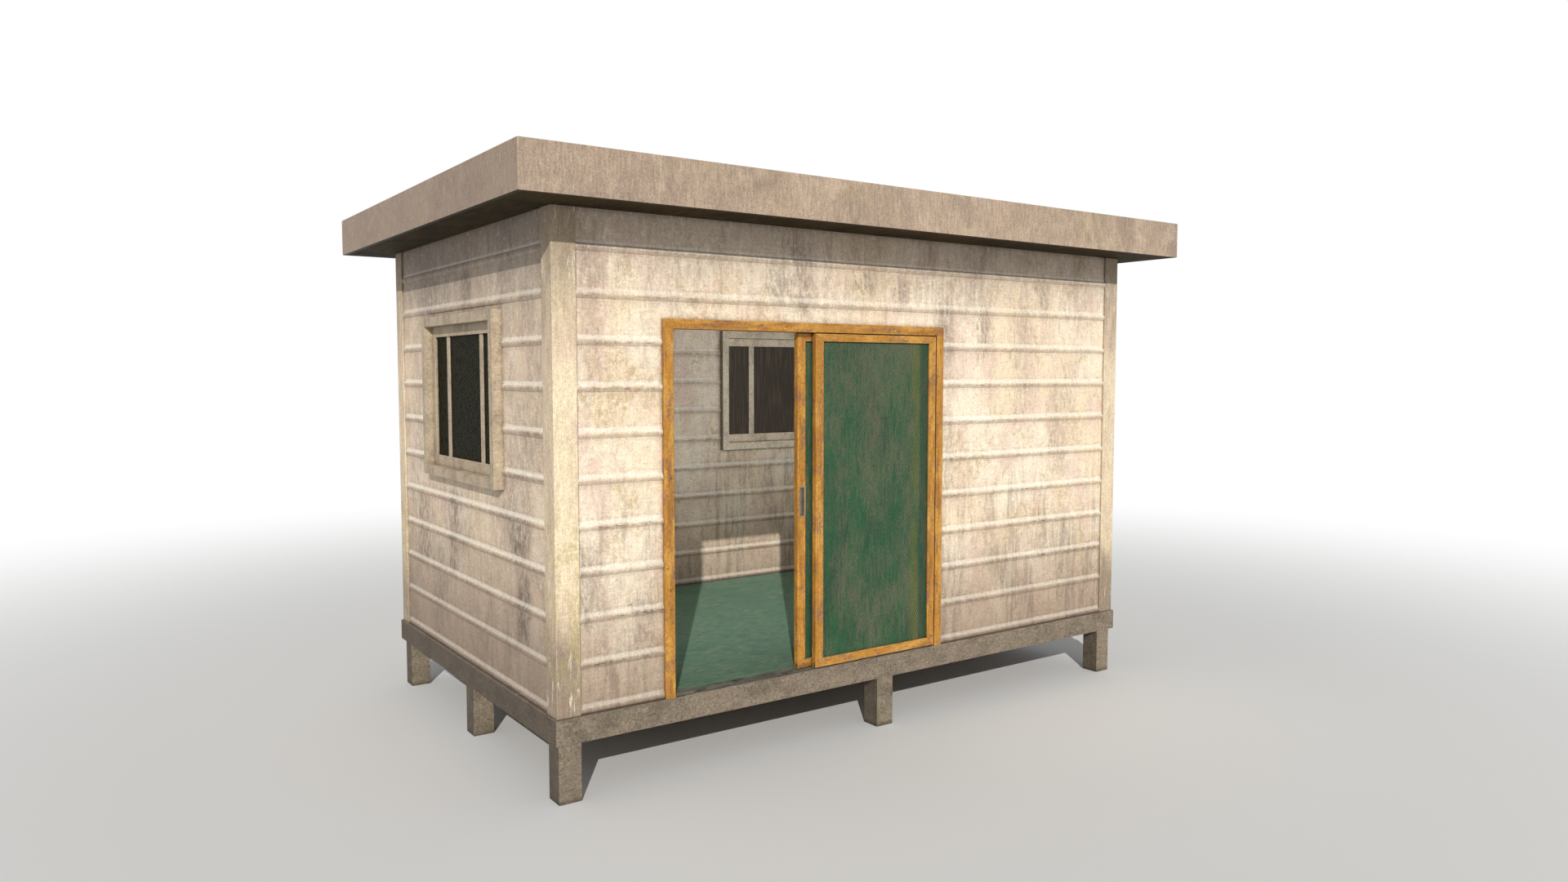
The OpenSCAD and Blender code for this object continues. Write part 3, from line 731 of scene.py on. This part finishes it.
def glass_finish(name, axis, middle):
    """Near-black panes; the room's side of them is dusty and streaked.

    The room lies where the place along the axis ("x" or "y") is nearer 0 than the middle.
    """
    f = Finish(name)
    black = screen(11, 11, 4)
    glint = screen(112, 108, 78)
    dusty = screen(88, 80, 71)
    streaky = screen(120, 109, 97)
    through = abs(f.across if axis == "x" else f.deep)
    blur = 0.0005
    room_side = through.step(middle + blur, middle - blur)
    turn = 2 * math.pi / MESH_PITCH
    run = f.deep if axis == "x" else f.across
    slanted = ((run * 0.94 + f.up * 0.30) * turn).sine()
    crossed = ((run * -0.25 + f.up * 0.96) * turn * 0.8).sine()
    dots = slanted * crossed
    patchy = f.noise(run * 40, f.up * 24, 3.0, 0.6)
    outer = f.mix(black, glint, dots.step(0.15, 0.85) * patchy.step(0.28, 0.60) * 0.46)
    streak = f.noise(run * 70, f.up * 3.5, 3.0, 0.6).step(0.46, 0.70)
    inner = f.mix(dusty, streaky, streak * 0.6)
    colour = f.mix(outer, inner, room_side)
    return f.wear(colour, 0.50 + room_side * 0.2, patchy, 0.0003, gloss=0.02)


def softened(name, radius, finish):
    """A copy of a CAD node with its sharp edges rounded, which stands in for it."""
    form = bmesh.new()
    form.from_mesh(frame["nodes"][name].data)
    bmesh.ops.remove_doubles(form, verts=form.verts, dist=WELD)
    bmesh.ops.dissolve_limit(form, angle_limit=FLAT_ANGLE, verts=form.verts, edges=form.edges)
    sharp = [e for e in form.edges if e.is_manifold and e.calc_face_angle() > SHARP_ANGLE]
    bmesh.ops.bevel(form, geom=sharp, offset=radius, segments=2, profile=0.5, affect="EDGES",
                    clamp_overlap=True)
    mesh = bpy.data.meshes.new(name + "_edged")
    form.to_mesh(mesh)
    form.free()
    piece = bpy.data.objects.new(name + "_edged", mesh)
    bpy.context.scene.collection.objects.link(piece)
    piece.data.materials.append(finish)
    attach(piece, body_of_node[name])
    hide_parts(name)


def painted(name, finish):
    """A CAD node as it is, with its finish."""
    mesh = frame["nodes"][name].data
    mesh.materials.clear()
    mesh.materials.append(finish)


record = frame["record"]
bodies = record["behaviour"]["bodies"]
body_of_node = {node: body for body, nodes in bodies.items() for node in nodes}

long_wall = wall_finish("wall_paint_long", "x", LONG_WALL_STAINS)
side_wall = wall_finish("wall_paint_side", "y", SIDE_WALL_STAINS)
for name in ("front_wall_left", "front_wall_right", "front_wall_over_door", "back_wall"):
    painted(name, long_wall)
for name in ("left_wall", "right_wall"):
    painted(name, side_wall)

post_paint = post_finish()
for name in ("front_left_post", "front_right_post", "back_right_post", "back_left_post"):
    softened(name, EDGE_WIDE, post_paint)

base_paint = base_finish("base_paint", screen(152, 137, 118), screen(119, 106, 90))
leg_paint = base_finish("leg_paint", screen(153, 139, 119), screen(120, 108, 92))
for name in ("front_beam", "back_beam", "side_beams"):
    softened(name, EDGE_WIDE, base_paint)
for name in ("front_legs", "middle_legs", "back_legs"):
    softened(name, EDGE_WIDE, leg_paint)
painted("floor_joists", base_paint)
painted("floor_deck", board_finish())
painted("floor_covering", floor_finish())

roof_paint = roof_finish()
for name in ("front_fascia", "back_fascia", "side_fascias"):
    softened(name, EDGE_WIDE, roof_paint)
painted("roof_sheet", roof_paint)
soffit_paint = soffit_finish()
painted("soffit", soffit_paint)
painted("roof_joists", soffit_paint)

casing_beige = screen(196, 178, 152)
casing_grey = screen(158, 141, 121)
casing_paint = casing_finish("casing_paint", casing_beige, casing_grey, shaded=0.16)
sash_paint = casing_finish("sash_paint", casing_beige, casing_grey, shaded=0.16)
# The back window's casing and sash take a lighter paint, with strong painted shade on their faces
# turned left
room_beige = screen(246, 230, 204)
room_grey = screen(212, 196, 172)
room_casing_paint = casing_finish("room_casing_paint", room_beige, room_grey, shaded=0.75)
for side in ("left", "right", "back"):
    at_back = side == "back"
    softened(side + "_window_casing", EDGE_FINE, room_casing_paint if at_back else casing_paint)
    softened(side + "_window_sash", EDGE_FINE, room_casing_paint if at_back else sash_paint)
    low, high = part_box(side + "_window_glass")
    axis = "y" if at_back else "x"
    middle = abs(low.y + high.y) / 2 if at_back else abs(low.x + high.x) / 2
    painted(side + "_window_glass", glass_finish(side + "_dark_glass", axis, middle))

upright_orange = door_finish("door_orange_upright", "up")
level_orange = door_finish("door_orange_level", "across")
for name in ("door_jambs", "outer_leaf_stiles", "inner_leaf_stiles"):
    softened(name, EDGE_FINE, upright_orange)
painted("inner_leaf_pull_block", upright_orange)
for name in ("door_head", "outer_leaf_rails", "inner_leaf_rails"):
    softened(name, EDGE_FINE, level_orange)
for leaf in ("outer_leaf", "inner_leaf"):
    strip_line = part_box(leaf + "_stiles")[1].x - STRIP_LINE
    painted(leaf + "_panel", panel_finish(leaf + "_green", strip_line))
painted("door_threshold", sill_finish())
roller_steel = steel_finish("roller_steel", (134, 134, 130))
for name in ("outer_leaf_rollers", "inner_leaf_rollers"):
    painted(name, roller_steel)
painted("inner_leaf_pull", steel_finish("pull_metal", (134, 126, 114)))


def ground():
    """A wide pale floor that keeps the shed's shadow and fades to white far from it."""
    bpy.ops.mesh.primitive_plane_add(size=FLOOR_SIZE)
    floor = bpy.context.object
    floor.name = "ground"
    f = Finish("ground_pale")
    f.shader.inputs["Base Color"].default_value = FLOOR_COLOUR
    f.shader.inputs["Roughness"].default_value = 0.9
    white = f.node("ShaderNodeEmission", inputs={"Color": WHITE, "Strength": 1.0})
    away = (f.across * f.across + f.deep * f.deep) ** 0.5
    seen = f.node("ShaderNodeLightPath", output="Is Camera Ray")
    through = f.node("ShaderNodeLightPath", output="Is Transmission Ray")
    mirrored = f.node("ShaderNodeLightPath", output="Is Glossy Ray")
    either = seen.most(through).most(mirrored)
    plain = Shade(f, f.shader.outputs[0])
    share = away.step(FADE_FROM, FADE_TO) * either
    both = f.node("ShaderNodeMixShader", inputs={0: share, 1: plain, 2: white})
    f.feed(f.tree.nodes["Material Output"].inputs["Surface"], both)
    floor.data.materials.append(f.material)


def sky():
    """An even soft light from all round that the camera and gloss see as white."""
    world = bpy.data.worlds.new("studio")
    bpy.context.scene.world = world
    world.use_nodes = True
    world.node_tree.nodes.clear()
    n = Nodes(world.node_tree)
    soft = n.node("ShaderNodeBackground", inputs={"Color": SKY_COLOUR, "Strength": SKY_STRENGTH})
    white = n.node("ShaderNodeBackground", inputs={"Color": WHITE, "Strength": 1.0})
    seen = n.node("ShaderNodeLightPath", output="Is Camera Ray")
    through = n.node("ShaderNodeLightPath", output="Is Transmission Ray")
    mirrored = n.node("ShaderNodeLightPath", output="Is Glossy Ray")
    either = seen.most(through).most(mirrored)
    both = n.node("ShaderNodeMixShader", inputs={0: either, 1: soft, 2: white})
    n.node("ShaderNodeOutputWorld", inputs={"Surface": both})


def lamp(name, kind, energy, settings, place, aim):
    """A lamp at a place, turned to what it lights."""
    light = bpy.data.lights.new(name, kind)
    light.energy = energy
    for key, value in settings.items():
        setattr(light, key, value)
    lit = bpy.data.objects.new(name, light)
    bpy.context.scene.collection.objects.link(lit)
    lit.location = place
    lit.rotation_euler = (Vector(aim) - Vector(place)).to_track_quat("-Z", "Y").to_euler()
    return lit


ground()
sky()
lamp("sun", "SUN", SUN_STRENGTH, {"angle": SUN_WIDTH, "color": SUN_COLOUR},
     SUN_AIM - SUN_TRAVEL * SUN_AWAY, SUN_AIM)
room_shape = {"shape": "RECTANGLE", "size": ROOM_LIGHT_WIDTH, "size_y": ROOM_LIGHT_HEIGHT,
              "color": ROOM_LIGHT_COLOUR}
room_lamp = lamp("room_fill", "AREA", ROOM_LIGHT_WATTS, room_shape, ROOM_LIGHT_PLACE, ROOM_LIGHT_AIM)
room_lamp.visible_camera = False
room_lamp.visible_glossy = False

camera = bpy.data.cameras.new("photo_view")
camera.lens = LENS
camera.sensor_width = SENSOR
eye = bpy.data.objects.new("photo_view", camera)
bpy.context.scene.collection.objects.link(eye)
eye.location = EYE
eye.rotation_euler = (math.radians(90 - EYE_DIP), 0.0, math.radians(EYE_TURN))
bpy.context.scene.camera = eye
bpy.context.scene.view_settings.view_transform = "Standard"
